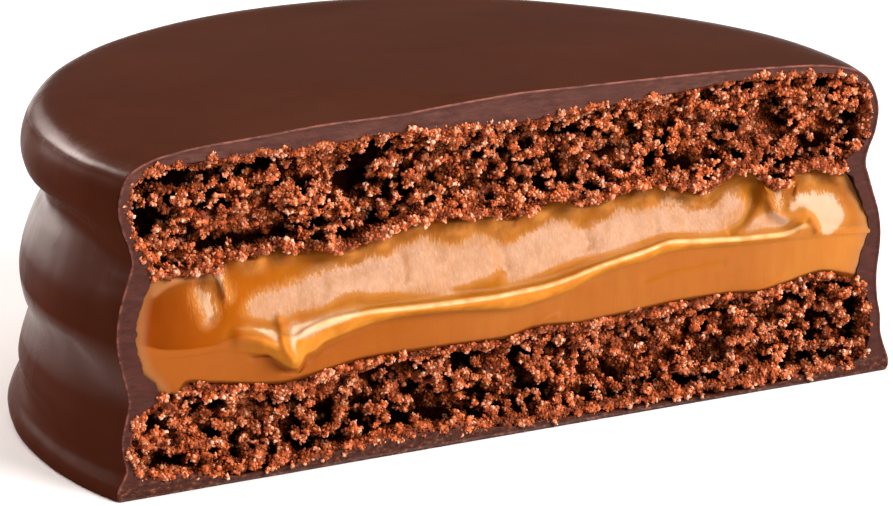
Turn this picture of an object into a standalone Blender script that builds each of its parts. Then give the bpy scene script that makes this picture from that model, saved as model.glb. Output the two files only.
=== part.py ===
"""A chocolate-coated alfajor with a slice cut off: two cocoa biscuits, caramel between them, a thin coat of
chocolate round it all.

The part lies as it would on a table: +Z is up, the base is at Z = 0, the origin is the centre of the round
cookie on its base, and the flat cut faces -Y. Lengths are in millimetres until a mesh is made, and MM turns
them into Blender's metres.
"""

import math

import bmesh
import bpy
from mathutils import Vector, noise

MM = 0.001

# ---------------------------------------------------------------- driving dimensions, in millimetres
CUT_Y = -8.4             # the cut runs this far in front of the cookie's centre
TOP_CENTRE = 24.6        # height at the middle of the low dome
FOOT_RADIUS = 32.2       # the coat spreads a little where it set on the belt
CAVITY_FLOOR = 0.7       # thickness of the coat under the lower biscuit
CAVITY_CEILING = 22.75   # underside of the top coat
LOWER_SEAM = 7.2         # mean height where caramel meets the lower biscuit
UPPER_SEAM = 15.9        # mean height where caramel meets the upper biscuit
GAP = 0.3                # clearance between neighbouring solids
STACK_SHIFT = 0.55       # the upper biscuit sits this much to the left of the lower one
WAIST_HEIGHT = 16.6      # the groove between the upper biscuit and the caramel
WAIST_SWING = 0.40       # how much deeper that groove is on its deep side
WAIST_DEEP_AT = math.radians(120)
SEAM_FADE = 18.0         # the seams' waves die out over this distance behind the cut
SEGMENTS = 56            # facets round the whole cookie
WALL_STEPS = 1           # facets from one point of the cavity's outline to the next
RINGS = (0, 9, 17, 24)   # radii of the rings of points on each layer's flat faces

# Outside of the coat from the middle of the dome to the edge of the base, as (radius, height).
COAT_OUTLINE = [
    (0.0, TOP_CENTRE), (10.0, 24.42), (19.0, 24.05), (26.2, 23.72), (28.9, 23.12), (30.2, 22.25),
    (30.85, 21.2), (31.0, 20.1), (30.72, 18.4), (30.15, 16.7), (30.55, 14.4), (31.25, 12.4),
    (31.45, 10.6), (31.2, 8.7), (30.9, 7.0), (31.3, 5.4), (31.55, 3.9), (31.45, 2.3),
    (31.85, 1.25), (FOOT_RADIUS, 0.55), (31.75, 0.0),
]
# Inside of the coat, from above the upper biscuit's rim to below the lower biscuit's rim.
CAVITY_OUTLINE = [
    (27.6, CAVITY_CEILING), (29.3, 22.1), (30.15, 21.0), (30.35, 19.6), (30.0, 18.0), (29.4, 16.6),
    (29.15, 15.4), (29.5, 13.9), (30.05, 12.1), (30.25, 10.6), (29.85, 9.0), (29.15, 7.9),
    (28.95, 7.2), (29.5, 6.4), (30.45, 5.4), (30.8, 4.2), (30.7, 2.4), (30.0, 1.35), (28.4, CAVITY_FLOOR),
]
# Height of each seam along the cut, as (distance from the middle, height above the seam's mean).
LOWER_SEAM_WAVE = [(-29, 0.3), (-25.5, 0.3), (-21.5, -0.45), (-18.0, -0.75), (-14.5, -0.2), (-8, -0.05),
                   (-2, -0.1), (1.7, 0.45), (5, 0.05), (12, 0.45), (17, 0.2), (20, -0.5), (24.8, 0.65), (29, 0.0)]
UPPER_SEAM_WAVE = [(-29, 0.1), (-25.5, -0.9), (-22.5, 0.0), (-17, -0.5), (-12, -0.5), (-8, 0.35), (-3, 0.3),
                   (0.5, -0.2), (3, 0.5), (6.6, -0.2), (10.5, 0.8), (15.8, -0.15), (18.5, 0.5), (21.8, -0.8),
                   (25.5, 0.1), (29, 0.0)]
# The caramel's lip, where the knife left it standing proud: (distance from the middle, height).
LIP_LINE = [(-30, 10.2), (-25, 10.0), (-21.5, 9.8), (-19, 8.6), (-17.2, 7.9), (-15.4, 8.9), (-12.5, 9.7),
            (-8, 10.1), (0, 10.1), (5, 10.6), (10, 11.6), (13, 12.0), (18, 11.7), (23, 11.7), (26, 11.0), (30, 10.6)]
LIP_PROUD = 0.8          # the lip stands this far in front of the cut
FACE_SUNK = 0.30         # the caramel below the lip, this far behind the cut
SLOPE_BACK = 2.4         # the caramel above the lip slopes back by this much at the upper biscuit

KNIFE_CELL = 1.15        # facets of the surfaces that the knife left
CRUMB_LUMP = 1.7         # size of the crumb's lumps
CRUMB_DEPTH = 0.5        # how far the lumps stand from each other
TORN_HOLE = 3.4          # spacing of the torn holes
TORN_DEPTH = 1.3         # depth of the torn holes


# ---------------------------------------------------------------- lines and levels
def eased(share):
    """0 to 1 with a soft start and end."""
    share = min(max(share, 0.0), 1.0)
    return share * share * (3 - 2 * share)


def along(points, x):
    """Height at x of the smooth line through points, which run from left to right."""
    for (x0, h0), (x1, h1) in zip(points, points[1:]):
        if x <= x1:
            return h0 + (h1 - h0) * eased((x - x0) / (x1 - x0))
    return points[-1][1]


def smooth(points, steps):
    """A curve through points by the Catmull-Rom rule, with that many steps from one point to the next."""
    ends = [Vector(p) for p in points]
    ends = [2 * ends[0] - ends[1], *ends, 2 * ends[-1] - ends[-2]]
    curve = []
    for before, start, end, after in zip(ends, ends[1:], ends[2:], ends[3:]):
        for i in range(steps):
            t = i / steps
            curve.append(0.5 * (2 * start + t * (end - before) + t * t * (2 * before - 5 * start + 4 * end - after)
                                + t ** 3 * (3 * start - before - 3 * end + after)))
    return [tuple(p) for p in curve] + [tuple(points[-1])]


def inset(outline, distance):
    """The outline moved inwards, towards the axis and the middle of its height."""
    moved = []
    for i, point in enumerate(outline):
        run = Vector(outline[min(i + 1, len(outline) - 1)]) - Vector(outline[max(i - 1, 0)])
        inward = Vector((run[1], -run[0])).normalized()
        moved.append(tuple(Vector(point) + distance * inward))
    return moved


def radius_at(outline, height):
    """Radius where the outline, which runs downwards, passes this height."""
    for (r0, z0), (r1, z1) in zip(outline, outline[1:]):
        if z0 >= height >= z1:
            return r0 + (r1 - r0) * (z0 - height) / max(z0 - z1, 1e-6)
    return outline[-1][0]


def seam_waves(x, y):
    """How far the lower and the upper seam stand above their means at this place."""
    fade = 1 - eased((y - CUT_Y) / SEAM_FADE)
    return fade * along(LOWER_SEAM_WAVE, x), fade * along(UPPER_SEAM_WAVE, x)


def waved(x, y, z):
    """Height of a point inside the coat once the seams wave: the floor and the ceiling stay flat."""
    low, high = seam_waves(x, y)
    if z < LOWER_SEAM:
        return z + low * max(z - CAVITY_FLOOR, 0) / (LOWER_SEAM - CAVITY_FLOOR)
    if z < UPPER_SEAM:
        return z + low + (high - low) * (z - LOWER_SEAM) / (UPPER_SEAM - LOWER_SEAM)
    return z + high * max(CAVITY_CEILING - z, 0) / (CAVITY_CEILING - UPPER_SEAM)


def settled(x, y, z):
    """The cookie isn't perfectly round: its groove is deeper on one side, and its layers are a little out of line."""
    radius, turn = math.hypot(x, y), math.atan2(y, x)
    near_waist = math.exp(-(((z - WAIST_HEIGHT) / 2.2) ** 2)) * eased(radius / 25)
    scale = 1 - WAIST_SWING * near_waist * math.cos(turn - WAIST_DEEP_AT) / max(radius, 1)
    return x * scale + STACK_SHIFT * (0.45 - z / TOP_CENTRE) * min(z, 1), y * scale, z


# ---------------------------------------------------------------- making objects
def material(name, colour, roughness):
    made = bpy.data.materials.new(name)
    made.use_nodes = True
    shader = made.node_tree.nodes["Principled BSDF"]
    shader.inputs["Base Color"].default_value = (*colour, 1)
    shader.inputs["Roughness"].default_value = roughness
    return made


def finished(name, bm, finish):
    """An object from the bmesh, in metres, with its faces pointing out and its round parts shaded smooth."""
    bmesh.ops.recalc_face_normals(bm, faces=bm.faces)
    bmesh.ops.scale(bm, vec=(MM, MM, MM), verts=bm.verts)
    mesh = bpy.data.meshes.new(name)
    bm.to_mesh(mesh)
    bm.free()
    mesh.shade_smooth()
    mesh.set_sharp_from_angle(angle=math.radians(40))
    obj = bpy.data.objects.new(name, mesh)
    bpy.context.scene.collection.objects.link(obj)
    if finish:
        mesh.materials.append(finish)
    return obj


def turned(name, outline, shaped, finish=None):
    """Spins an outline of (radius, height) points round the Z axis, then moves each point as shaped says."""
    bm = bmesh.new()
    points = [bm.verts.new((r, 0, z)) for r, z in outline]
    edges = [bm.edges.new(pair) for pair in zip(points, points[1:])]
    bmesh.ops.spin(bm, geom=points + edges, cent=(0, 0, 0), axis=(0, 0, 1), angle=2 * math.pi, steps=SEGMENTS,
                   use_duplicate=False)
    bmesh.ops.remove_doubles(bm, verts=bm.verts, dist=0.001)
    for vertex in bm.verts:
        vertex.co = shaped(*vertex.co)
    return finished(name, bm, finish)


def knife(name, front, left, right, low, high, cell):
    """A block in front of the cut, whose back face lies at y = front(x, z). It takes the slice away."""
    columns, rows = round((right - left) / cell), round((high - low) / cell)
    bm = bmesh.new()
    bmesh.ops.create_grid(bm, x_segments=columns, y_segments=rows, size=0.5)
    for vertex in bm.verts:
        x = left + (vertex.co.x + 0.5) * (right - left)
        z = low + (vertex.co.y + 0.5) * (high - low)
        vertex.co = (x, front(x, z), z)
    edges = [e for e in bm.edges if e.is_boundary]
    rim = bmesh.ops.extrude_edge_only(bm, edges=edges)["geom"]
    for vertex in (v for v in rim if isinstance(v, bmesh.types.BMVert)):
        vertex.co.y = -3 * FOOT_RADIUS
    bmesh.ops.contextual_create(bm, geom=[e for e in bm.edges if e.is_boundary])
    return helper(finished(name, bm, None))


def helper(obj):
    obj.hide_render = True
    obj.display_type = "WIRE"
    return obj


def take_away(obj, cutter):
    cut = obj.modifiers.new("less " + cutter.name, "BOOLEAN")
    cut.operation = "DIFFERENCE"
    cut.solver = "EXACT"
    cut.object = cutter


# ---------------------------------------------------------------- the surfaces that the knife left
def plain_cut(x, z):
    return CUT_Y


def torn_crumb(x, z):
    """Crumb doesn't cut clean: it stands in lumps with torn holes between them."""
    lumps = noise.noise(Vector((x, 40.0, z * 1.3)) / CRUMB_LUMP)
    hole = max(noise.noise(Vector((x, 7.0, z * 1.7)) / TORN_HOLE) - 0.12, 0) / 0.5
    return CUT_Y + 0.3 - CRUMB_DEPTH * lumps + TORN_DEPTH * min(hole, 1)


def pulled_caramel(x, z):
    """Caramel drags on the knife: a lip stands proud, and the surface above it slopes back."""
    lip = along(LIP_LINE, x)
    above = (z - lip) / (UPPER_SEAM - lip)
    if above < 0:
        return CUT_Y + FACE_SUNK - (LIP_PROUD + FACE_SUNK) * eased(1 - (lip - z) / 0.9)
    return CUT_Y - LIP_PROUD + (SLOPE_BACK + LIP_PROUD) * eased(above * 0.85)


# ---------------------------------------------------------------- the four layers
def inside(x, y, z):
    return settled(x, y, waved(x, y, z))


def coat(finish):
    """The chocolate: a closed shell but for the cut, where its thickness shows all the way round."""
    shell = turned("chocolate_coating", smooth(COAT_OUTLINE, 2) + [(0, 0)], settled, finish)
    wall = smooth(CAVITY_OUTLINE, WALL_STEPS)
    floor = [(r, CAVITY_FLOOR) for r in (20, 10, 0)]
    ceiling = [(r, CAVITY_CEILING) for r in (0, 10, 20)]
    take_away(shell, helper(turned("cavity", ceiling + wall + floor, inside)))
    take_away(shell, knife("coat_knife", plain_cut, -40, 40, -5, 30, 40))
    return shell


def layer(name, low, high, front, finish):
    """The slice of the cavity between two heights, kept clear of the coat and of the next layer."""
    wall = inset(smooth(CAVITY_OUTLINE, WALL_STEPS), GAP)
    side = [(r, z) for r, z in wall if low + GAP < z < high - GAP]
    outline = [(r, high) for r in RINGS] + [(radius_at(wall, high), high)] + side
    outline += [(radius_at(wall, low), low)] + [(r, low) for r in reversed(RINGS)]
    solid = turned(name, outline, inside, finish)
    take_away(solid, knife(name + "_knife", front, -33, 33, low - 3, high + 3, KNIFE_CELL))
    return solid


def main():
    for old in list(bpy.data.objects):
        bpy.data.objects.remove(old)
    chocolate = material("chocolate", (0.065, 0.022, 0.014), 0.32)
    crumb = material("cocoa crumb", (0.26, 0.095, 0.05), 0.85)
    caramel = material("caramel", (0.62, 0.26, 0.07), 0.2)
    coat(chocolate)
    layer("top_biscuit", UPPER_SEAM + GAP / 2, CAVITY_CEILING - GAP, torn_crumb, crumb)
    layer("caramel_filling", LOWER_SEAM + GAP / 2, UPPER_SEAM - GAP / 2, pulled_caramel, caramel)
    layer("bottom_biscuit", CAVITY_FLOOR + GAP, LOWER_SEAM - GAP / 2, torn_crumb, crumb)


main()
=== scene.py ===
# %% [markdown]
# # A cut alfajor
#
# An alfajor is two soft cocoa biscuits with dulce de leche, a thick milk caramel, between them, and a
# thin coat of dark chocolate over everything. This one has been cut, so all four layers show on one flat
# face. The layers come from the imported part, which is the frame, and each one gets a detailed piece that
# takes its place.

import math

import bmesh
import bpy
import numpy as np
from mathutils import Matrix, Vector, noise


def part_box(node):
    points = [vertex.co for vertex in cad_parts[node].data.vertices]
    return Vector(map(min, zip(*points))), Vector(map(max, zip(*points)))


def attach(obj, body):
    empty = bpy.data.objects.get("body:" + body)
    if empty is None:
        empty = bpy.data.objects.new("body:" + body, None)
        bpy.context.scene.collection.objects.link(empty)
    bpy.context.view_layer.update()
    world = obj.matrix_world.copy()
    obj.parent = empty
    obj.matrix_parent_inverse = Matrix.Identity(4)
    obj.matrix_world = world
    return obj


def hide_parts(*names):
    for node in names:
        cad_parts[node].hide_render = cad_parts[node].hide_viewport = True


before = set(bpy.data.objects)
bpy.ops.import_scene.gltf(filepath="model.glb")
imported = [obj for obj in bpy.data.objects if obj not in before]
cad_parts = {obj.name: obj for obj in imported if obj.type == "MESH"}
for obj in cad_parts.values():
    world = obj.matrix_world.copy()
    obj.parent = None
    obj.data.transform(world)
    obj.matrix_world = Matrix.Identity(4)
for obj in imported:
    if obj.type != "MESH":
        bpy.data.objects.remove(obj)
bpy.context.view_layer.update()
print("layers:", sorted(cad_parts))

# %% [markdown]
# A biscuit is easiest to think about in millimetres, so the meshes are worked out in millimetres and
# scaled to Blender's metres as the last step. The cut is read from the frame: it is where the coat ends.

# %% Units and the cut
MM = 0.001
coat_low, coat_high = (np.array(corner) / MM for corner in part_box("chocolate_coating"))
CUT = float(coat_low[1])
TOP = float(coat_high[2])
print(f"the cut is at y = {CUT:.2f} mm and the cookie is {TOP:.2f} mm tall")

# %% [markdown]
# ## Small tools
#
# Hand-made food has no straight lines. Its outlines are given as a few points, and a smooth curve goes
# through them: the centripetal Catmull-Rom curve, which makes no loops where points are close together.


# %% Curves and levels
def between(t, start, end, first, second):
    """The place at t on the line that passes first at start and second at end."""
    return (end - t) / (end - start) * first + (t - start) / (end - start) * second


def curve_through(points, per):
    """A smooth curve through the points, with per steps from each point to the next."""
    points = np.asarray(points, float)
    ends = np.vstack([2 * points[0] - points[1], points, 2 * points[-1] - points[-2]])
    gaps = np.sqrt(np.linalg.norm(np.diff(ends, axis=0), axis=1))
    knots = np.concatenate([[0], np.cumsum(gaps)])
    pieces = []
    for i in range(1, len(ends) - 2):
        p0, p1, p2, p3 = ends[i - 1 : i + 3]
        t0, t1, t2, t3 = knots[i - 1 : i + 3]
        t = np.linspace(t1, t2, per, endpoint=False)[:, None]
        middle = between(t, t1, t2, p1, p2)
        before = between(t, t0, t2, between(t, t0, t1, p0, p1), middle)
        after = between(t, t1, t3, middle, between(t, t2, t3, p2, p3))
        pieces.append(between(t, t1, t2, before, after))
    return np.vstack([*pieces, points[-1:]])


def eased(share):
    """0 to 1 with a soft start and end."""
    share = np.clip(share, 0, 1)
    return share * share * (3 - 2 * share)


def level(points, x):
    """Height at x of the smooth line through points that run from left to right."""
    line = curve_through(points, 12)
    return np.interp(x, line[:, 0], line[:, 1])


def near_line(x, z, points, steps=6):
    """Each (x, z)'s distance from a smooth line through the points, and how far along it that is."""
    line = curve_through(points, steps)
    gap, along = np.full(x.shape, 99.0), np.zeros(x.shape)
    for i, ((x0, z0), (x1, z1)) in enumerate(zip(line, line[1:])):
        dx, dz = x1 - x0, z1 - z0
        t = np.clip(((x - x0) * dx + (z - z0) * dz) / (dx**2 + dz**2), 0, 1)
        near = np.hypot(x - x0 - t * dx, z - z0 - t * dz)
        along = np.where(near < gap, (i + t) / (len(line) - 1), along)
        gap = np.minimum(gap, near)
    return gap, along


def rough(points, size, seed):
    """Smooth noise between -1 and 1 at each point, whose bumps are about size across."""
    shift = Vector((seed * 17.3, seed * 5.1, seed * 9.7))
    return np.array([noise.noise(Vector(p) / size + shift) for p in points])


# %% [markdown]
# Every mesh is built the same way: points and faces go into a bmesh, doubled points at seams and poles
# are merged, and the normals are made to point outwards before the object is made.


# %% Meshes
def placed(name, data):
    """A new object in the scene that holds this data."""
    made = bpy.data.objects.new(name, data)
    bpy.context.scene.collection.objects.link(made)
    return made


def piece(name, points, faces, materials, face_material=None, merge=1e-4):
    """An object in metres from points in millimetres. merge is how near doubled points are."""
    bm = bmesh.new()
    verts = [bm.verts.new(p) for p in points]
    for i, face in enumerate(faces):
        corners = [verts[c] for c in dict.fromkeys(face)]
        if len(corners) > 2:
            made = bm.faces.new(corners)
            made.material_index = 0 if face_material is None else int(face_material[i])
            made.smooth = True
    bmesh.ops.remove_doubles(bm, verts=bm.verts, dist=merge)
    bmesh.ops.recalc_face_normals(bm, faces=bm.faces)
    bmesh.ops.scale(bm, vec=(MM, MM, MM), verts=bm.verts)
    mesh = bpy.data.meshes.new(name)
    bm.to_mesh(mesh)
    bm.free()
    for material in materials:
        mesh.materials.append(material)
    print(f"{name}: {len(mesh.polygons)} faces")
    return placed(name, mesh)


def grid_faces(rows, columns, start=0):
    """The four-sided faces of a grid of points, row after row."""
    firsts = [start + r * columns + c for r in range(rows - 1) for c in range(columns - 1)]
    return [(i, i + 1, i + columns + 1, i + columns) for i in firsts]


# %% [markdown]
# ## Materials
#
# Every finish is a Principled shader with a few procedural textures on Object coordinates, so that the
# pattern is fixed to the food. A small helper adds nodes and links them in one line each. It serves
# Geometry Nodes too.


# %% Nodes in one line each
class Nodes:
    """Adds nodes to a tree. Every method but add and put gives back the new node's output."""

    def put(self, socket, value):
        """Links another node's output to a socket, or sets the socket to a plain value."""
        if isinstance(value, bpy.types.NodeSocket):
            self.tree.links.new(value, socket)
        else:
            socket.default_value = value

    def add(self, kind, inputs=None, **settings):
        node = self.tree.nodes.new(kind)
        for key, value in settings.items():
            setattr(node, key, value)
        for key, value in (inputs or {}).items():
            self.put(node.inputs[key], value)
        return node

    def maths(self, operation, first, second=0.0, third=0.0):
        return self.add("ShaderNodeMath", {0: first, 1: second, 2: third}, operation=operation).outputs[0]

    def vector(self, operation, first, second=(0, 0, 0)):
        node = self.add("ShaderNodeVectorMath", {0: first, 1: second}, operation=operation)
        return node.outputs["Value" if operation in ("LENGTH", "DOT_PRODUCT", "DISTANCE") else "Vector"]

    def scaled(self, vector, factor):
        return self.add("ShaderNodeVectorMath", {0: vector, "Scale": factor}, operation="SCALE").outputs[0]

    def axis(self, vector, number):
        return self.add("ShaderNodeSeparateXYZ", {0: vector}).outputs[number]

    def span(self, value, low, high, to_low=0.0, to_high=1.0):
        """Maps low..high to to_low..to_high and holds it there."""
        ends = {"From Min": low, "From Max": high, "To Min": to_low, "To Max": to_high}
        return self.add("ShaderNodeMapRange", {"Value": value, **ends}).outputs["Result"]


# %% A finish
class Finish(Nodes):
    """A material. Its coordinates are in millimetres."""

    def __init__(self, name):
        self.material = bpy.data.materials.new(name)
        self.material.use_nodes = True
        self.tree = self.material.node_tree
        self.shader = self.tree.nodes["Principled BSDF"]
        self.coordinates = self.add("ShaderNodeTexCoord").outputs
        self.place = self.scaled(self.coordinates["Object"], 1 / MM)

    def noise(self, size, detail=4, roughness=0.5, stretch=(1, 1, 1), distortion=0):
        """Noise whose bumps are size millimetres across, longer along an axis where stretch is large."""
        place = self.vector("MULTIPLY", self.place, [1 / (size * s) for s in stretch])
        look = {"Detail": detail, "Roughness": roughness, "Distortion": distortion}
        return self.add("ShaderNodeTexNoise", {"Vector": place, "Scale": 1, **look}).outputs["Fac"]

    def ramp(self, fac, *stops):
        """Colours at positions from 0 to 1."""
        node = self.add("ShaderNodeValToRGB", {"Fac": fac})
        elements = node.color_ramp.elements
        while len(elements) < len(stops):
            elements.new(0.5)
        for element, (position, colour) in zip(elements, stops):
            element.position = position
            element.color = (*colour, 1)
        return node.outputs["Color"]

    def greys(self, fac, *stops):
        return self.ramp(fac, *((position, (grey,) * 3) for position, grey in stops))

    def mix(self, share, *colours):
        first, second = (c if isinstance(c, bpy.types.NodeSocket) else (*c, 1) for c in colours)
        return self.add("ShaderNodeMix", {0: share, 6: first, 7: second}, data_type="RGBA").outputs[2]

    def over(self, colour, *layers):
        """The colour with more laid over it, each given as (how much of it shows, colour)."""
        for share, layer in layers:
            colour = self.mix(share, colour, layer)
        return colour

    def attribute(self, name):
        return self.add("ShaderNodeAttribute", attribute_name=name).outputs["Fac"]

    def bumps(self, *layers):
        """Stacks bumps, each (height, depth in millimetres), and links the last to the shader."""
        below = {}
        for height, depth in layers:
            inputs = {"Height": height, "Distance": depth * MM, "Strength": 1, **below}
            below = {"Normal": self.add("ShaderNodeBump", inputs).outputs["Normal"]}
        self.set(**below)

    def set(self, **inputs):
        """Sets or links the shader's sockets: a name's underscores stand for spaces."""
        for key, value in inputs.items():
            self.put(self.shader.inputs[key.replace("_", " ")], value)


# %% [markdown]
# ### Dark chocolate
#
# Enrobing chocolate runs over the biscuit as a warm curtain and sets with a satin skin. It isn't a
# mirror: the skin is a little cloudy, and on the sides it carries faint streaks where it ran down. What
# faces up has set glossier than what faces down, most of all on the shoulder and in the two grooves.
# The sides are coloured darker than the top: that is painted shade.


# %% The chocolate's skin
def chocolate_skin():
    skin = Finish("dark chocolate")
    span = skin.span
    cloud = skin.noise(9, detail=5, roughness=0.6, distortion=0.4)
    fine = skin.noise(0.7, detail=3)
    streak = skin.noise(1.6, detail=3, stretch=(1, 1, 6))
    # Painted shade: the sides get a darker copy of the top's chocolate colour.
    side = skin.ramp(cloud, (0.3, (0.044, 0.0098, 0.0042)), (0.7, (0.055, 0.0130, 0.0060)))
    top = skin.ramp(cloud, (0.3, (0.050, 0.0142, 0.0068)), (0.7, (0.061, 0.0177, 0.0088)))
    up, facing = skin.axis(skin.place, 2), skin.axis(skin.coordinates["Normal"], 2)
    on_shoulder = skin.greys(facing, (0.0, 0.001), (0.5, 0.004), (0.66, 0.09), (0.85, 0.07), (1.0, 0.02))
    in_groove = skin.greys(facing, (0.0, 0.002), (0.15, 0.012), (0.4, 0.09), (1.0, 0.09))
    dull = skin.greys(facing, (0.0, 0.001), (1.0, 0.012))
    high_groove = skin.maths("MULTIPLY", span(up, 17.8, 16.8), span(up, 13.0, 15.6))
    low_groove = skin.maths("MULTIPLY", span(up, 11.0, 9.0), span(up, 6.0, 7.8))
    gloss = skin.over(dull, (high_groove, in_groove), (low_groove, (0.045,) * 3))
    gloss = skin.mix(span(up, 18.5, 20.0), gloss, on_shoulder)
    skin.set(Base_Color=skin.mix(span(up, TOP - 3.5, TOP - 0.6), side, top), Specular_IOR_Level=gloss)
    skin.set(Roughness=span(skin.mix(0.5, cloud, streak), 0.3, 0.7, 0.22, 0.30))
    skin.bumps((streak, 0.015), (fine, 0.008))
    return skin.material


# %% [markdown]
# Where the knife went through, the chocolate is dull and a little grey, with fine wrinkles dragged along
# it, and a thin bright line along its outer edge. It is darker down the sides than along the top, and
# crumbs are smeared over the dark base.


# %% The chocolate's cut face
def chocolate_cut():
    cut = Finish("cut chocolate")
    span = cut.span
    up, rim = cut.axis(cut.place, 2), cut.attribute("rim")
    grain = cut.noise(0.45, detail=4, roughness=0.65, stretch=(2.2, 1, 0.8))
    patch = cut.noise(3.0, detail=3)
    smear = cut.noise(0.3, detail=4, roughness=0.7, stretch=(1.6, 1, 1))
    dull = cut.ramp(grain, (0.3, (0.040, 0.0105, 0.0070)), (0.7, (0.105, 0.034, 0.0225)))
    low = cut.ramp(grain, (0.3, (0.034, 0.0080, 0.0050)), (0.7, (0.064, 0.0160, 0.0100)))
    base = cut.ramp(
        smear, (0.4, (0.030, 0.0060, 0.0030)), (0.55, (0.062, 0.0170, 0.0090)), (0.7, (0.26, 0.085, 0.038))
    )
    line = cut.maths("MULTIPLY", span(rim, 0.16, 0.05), span(grain, 0.4, 0.6, 0.15, 0.9))
    colour = cut.over(
        dull,
        (span(patch, 0.35, 0.7), (0.062, 0.0188, 0.0128)),
        (span(up, TOP - 3.0, TOP - 5.0), low),
        (span(up, 1.5, 0.8, 0.0, 0.85), base),
        (line, (0.24, 0.075, 0.055)),
    )
    cut.set(Base_Color=colour, Specular_IOR_Level=0.12, Roughness=span(grain, 0.3, 0.7, 0.42, 0.6))
    cut.bumps((cut.noise(1.3, detail=2, stretch=(2.5, 1, 0.6)), 0.10), (grain, 0.07))
    return cut.material


SKIN, CUT_FACE = chocolate_skin(), chocolate_cut()
print("chocolate:", SKIN.name, "and", CUT_FACE.name)

# %% [markdown]
# ## The coat
#
# The coat follows what is under it: a bulge for each biscuit, one for the caramel, a groove at each seam,
# and a small foot where the chocolate ran down and set on the belt. Its outline isn't the same all round,
# so it is given three times, from the middle of the top to the middle of the base: at the right end of
# the cut, at the back, and at the left end. The surface is lofted from one to the next. The same is done
# for its inner wall.

# %% The coat's outlines
# (distance from the middle of the cut, height); the point numbers match from list to list.
OUTER_RIGHT = [
    (0, 24.6), (5, 24.5), (10, 24.4), (15, 24.3), (20, 24.1), (25, 23.7), (27.5, 23.1), (28.5, 22.5),
    (29.2, 21.55), (29.65, 20.1), (29.4, 18.3), (28.85, 17), (28.65, 16), (28.95, 15), (29.4, 13.7),
    (29.9, 12.3), (30.15, 10.7), (30.1, 9.4), (29.9, 7.6), (30, 5.8), (30.3, 4.4), (30.4, 3), (30.7, 2),
    (31.15, 0.7), (30.9, 0), (20, 0), (10, 0), (0, 0),
]
INNER_RIGHT = [
    (0, 22.45), (5, 22.75), (10, 22.95), (15, 23.3), (20, 23.4), (24.8, 23.1), (26.9, 22.6), (28, 21.95),
    (28.6, 21.2), (28.9, 20), (28.75, 18.3), (28.3, 17.3), (26.6, 16), (27.6, 15), (28.1, 13.7),
    (28.8, 12.2), (29.05, 10.9), (28.5, 9.2), (28.1, 7.4), (29, 6), (29.35, 4.6), (29.4, 3), (29.1, 1.8),
    (28.3, 1), (26.6, 0.85), (20, 0.35), (10, 0.4), (0, 0.6),
]
OUTER_LEFT = [
    (0, 24.6), (5, 24.4), (10, 24.15), (15, 24.15), (20, 23.9), (25, 23.65), (27.6, 23.25), (28.8, 22.8),
    (29.6, 22.2), (30.2, 20.3), (29.95, 18.7), (29.55, 17.6), (29.3, 16.4), (29.7, 15), (30.2, 13.5),
    (30.45, 12.1), (30.5, 10.7), (30.2, 9), (29.75, 6.9), (29.95, 5.8), (30.3, 4.3), (30.2, 3),
    (30.05, 2.1), (30.7, 0.7), (30.6, 0), (20, 0), (10, 0), (0, 0),
]
INNER_LEFT = [
    (0, 22.45), (5, 22.6), (10, 22.9), (15, 22.75), (20, 22.7), (25, 22.7), (27, 22.65), (28.2, 22.3),
    (29, 21.7), (29.4, 20.3), (29.25, 18.9), (28.8, 17.7), (28.1, 16.4), (27.95, 15), (28.7, 13.5),
    (29.05, 11.9), (29.1, 10.5), (28.6, 8.9), (27.4, 7), (28.9, 5.8), (29.6, 4.6), (29.65, 3.2),
    (29.4, 2.1), (28.4, 1.45), (26.3, 1.2), (21, 0.4), (10, 1.3), (0, 0.6),
]
# (radius, height) round the back
OUTER_BACK = [
    (8.4, 24.6), (9.8, 24.58), (13.1, 24.5), (17.2, 24.4), (21.6, 24.2), (26.3, 24), (28.5, 23.6),
    (29.6, 23.05), (30.45, 22.1), (30.95, 20.4), (30.7, 18.8), (29.5, 17.5), (29.3, 16.7), (30.1, 15.4),
    (30.8, 13.8), (31.2, 12.5), (31.3, 11.1), (31.05, 9.4), (30.65, 8), (31.2, 6.4), (31.6, 4.9),
    (31.4, 3.5), (32, 2.55), (32.5, 1.2), (32, 0), (21.7, 0), (13.1, 0), (8.4, 0),
]
BACK_WALL = 1.15         # the coat's thickness round the back
RIGHT_BLEND = 0.35       # share of the way round over which the right end's outline turns into the back's
LEFT_BLEND = 0.22        # the same for the left end
END_EASE = 0.06          # share of the way round over which a change starts from an end of the cut
FLAT_TURN = 0.6          # angle from the right end where the round is flattest
FLAT_WIDTH = 0.5
FLAT = 0.035             # how much smaller the radius is there
RIM_DROP = 9             # how much lower the rim is there, for each unit of FLAT
ROUND = 30               # the cookie's radius
GROOVES = (16.7, 8.0)    # heights of the two grooves
GROOVE_WIDTH = 1.7
RISEN_TURN = 3.2         # angle, near the left end, where the grooves run highest
RISEN_WIDTH = 0.3
RISEN = 1.2              # and by how much


# %% Lofting a wall
def hump(value, middle, width):
    """1 at the middle, falling smoothly to nothing on both sides."""
    return np.exp(-(((value - middle) / width) ** 2))


def inset(outline, distance):
    """The outline moved inwards by a distance."""
    run = np.gradient(outline, axis=0)
    inward = np.stack([run[:, 1], -run[:, 0]], axis=1)
    return outline + distance * inward / np.linalg.norm(inward, axis=1, keepdims=True)


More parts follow.
